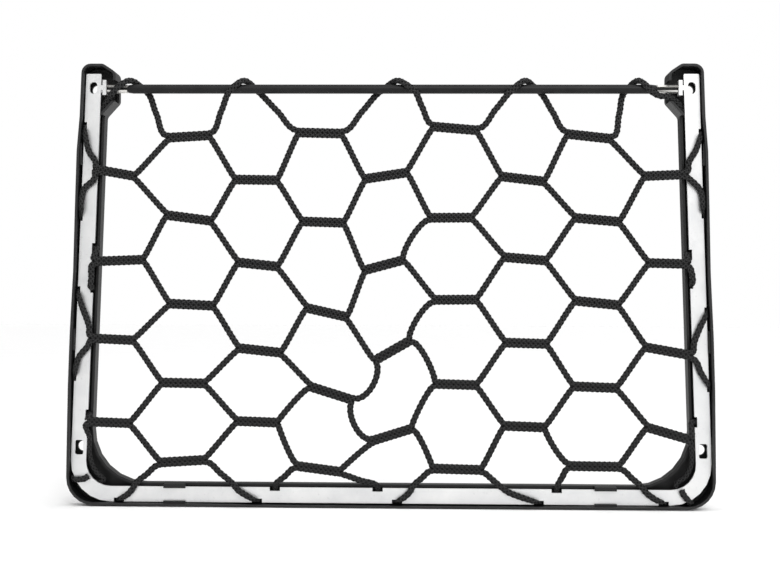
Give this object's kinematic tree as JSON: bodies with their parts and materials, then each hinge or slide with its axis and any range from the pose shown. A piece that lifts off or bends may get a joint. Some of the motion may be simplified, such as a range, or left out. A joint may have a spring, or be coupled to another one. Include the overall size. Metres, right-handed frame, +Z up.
{
  "type": "cargo net with mounting frame",
  "caption": "Elastic cord net laced over a bent metal strip and a rod in a U-shaped channel frame, to hold things flat against a wall.",
  "frame": {"origin": "middle of the frame's bottom run, on the outer wall's rim that meets the wall", "axes": "+X along the rod and the bottom run, +Z up towards the rod, +Y out of the wall into the room"},
  "size_m": [0.4146, 0.014, 0.2851],
  "materials": {
    "frame_plastic": "fine moulded, satin",
    "strip_aluminium": "rolled, satin",
    "rod_black": "smooth, satin",
    "sleeve_steel": "bright",
    "net_cord": "braided"
  },
  "bodies": {
    "root": {"channel_frame": "frame_plastic", "metal_strip": "strip_aluminium", "top_rod": "rod_black", "sleeve_left": "sleeve_steel", "sleeve_right": "sleeve_steel", "net": "net_cord"}
  },
  "joints": []
}
